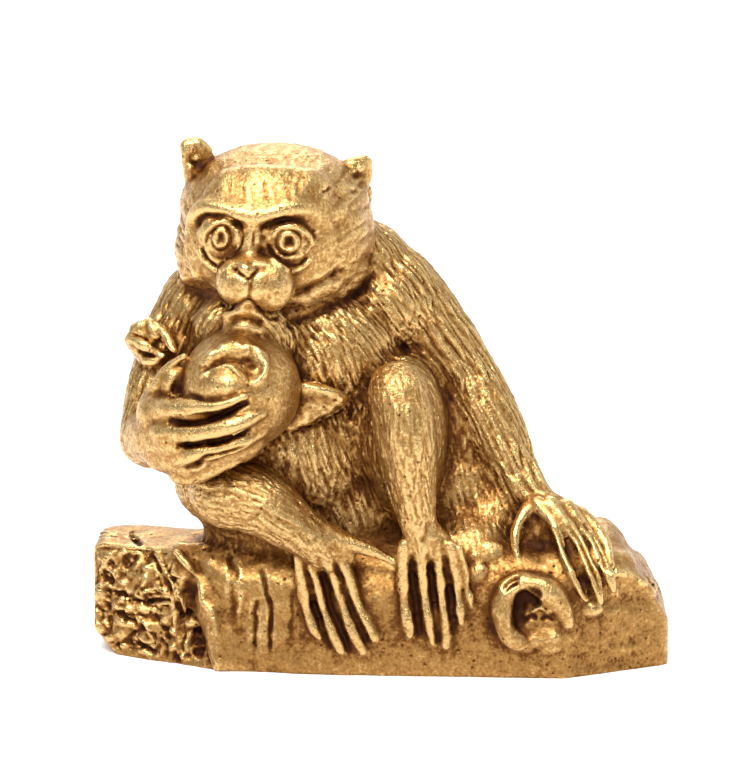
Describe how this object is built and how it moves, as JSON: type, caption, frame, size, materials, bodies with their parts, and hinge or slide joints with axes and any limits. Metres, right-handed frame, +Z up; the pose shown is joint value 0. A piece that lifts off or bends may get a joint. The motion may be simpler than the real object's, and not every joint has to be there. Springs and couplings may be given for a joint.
{
  "type": "monkey figure",
  "caption": "Small solid brass casting of a monkey that sits on a log with bent knees, holds a peach to its chin and leans on its other arm; it stands on its flat underside.",
  "frame": {"origin": "middle of the plan of the bounding box, on the surface that the log stands on", "axes": "+Z up, +X along the log towards the hand that leans on it, +Y towards the monkey's back; the face looks along -Y"},
  "size_m": [0.0518, 0.0256, 0.0474],
  "materials": {
    "brass": "aged satin cast brass, pale gold on the raised parts and dark brown patina in the grooves"
  },
  "bodies": {
    "root": {"monkey_figure": "brass"}
  },
  "joints": []
}
